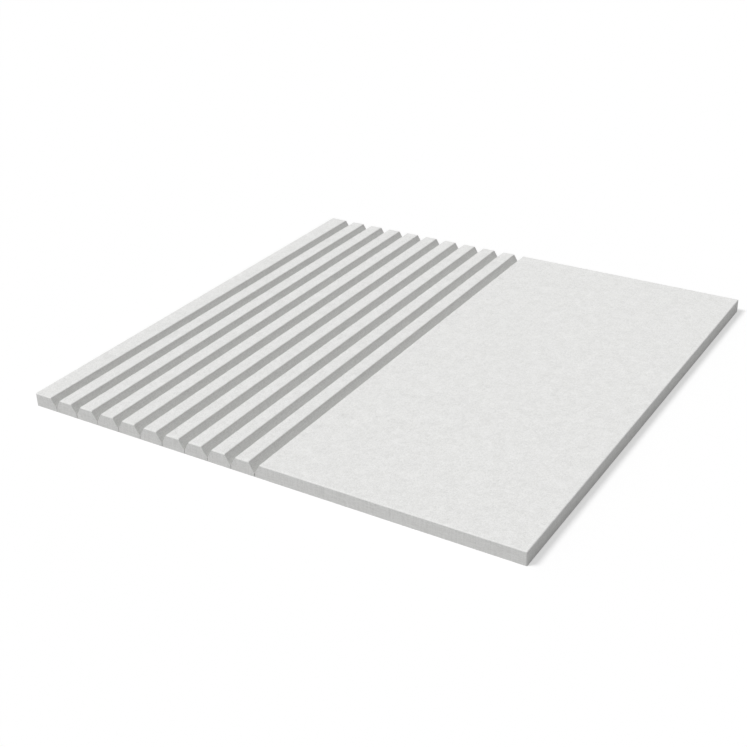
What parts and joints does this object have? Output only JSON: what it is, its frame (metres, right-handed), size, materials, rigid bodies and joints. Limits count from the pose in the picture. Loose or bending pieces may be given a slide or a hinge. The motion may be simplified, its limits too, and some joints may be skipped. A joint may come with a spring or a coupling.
{
  "type": "acoustic panel",
  "caption": "Square pressed-fibre acoustic wall panel: half the face plain, half cut with deep parallel V-grooves, rim and corners lightly rounded, flat back.",
  "frame": {"origin": "middle of the flat back, which lies on the floor", "axes": "+X across the grooves, from the grooved half to the plain half; +Y along the grooves, away from the viewer of the drawing; +Z out of the sound face"},
  "size_m": [0.6, 0.6, 0.016],
  "materials": {
    "pressed_fibre": "matte white pressed polyester fibre"
  },
  "bodies": {
    "root": {"grooved_panel": "pressed_fibre"}
  },
  "joints": []
}
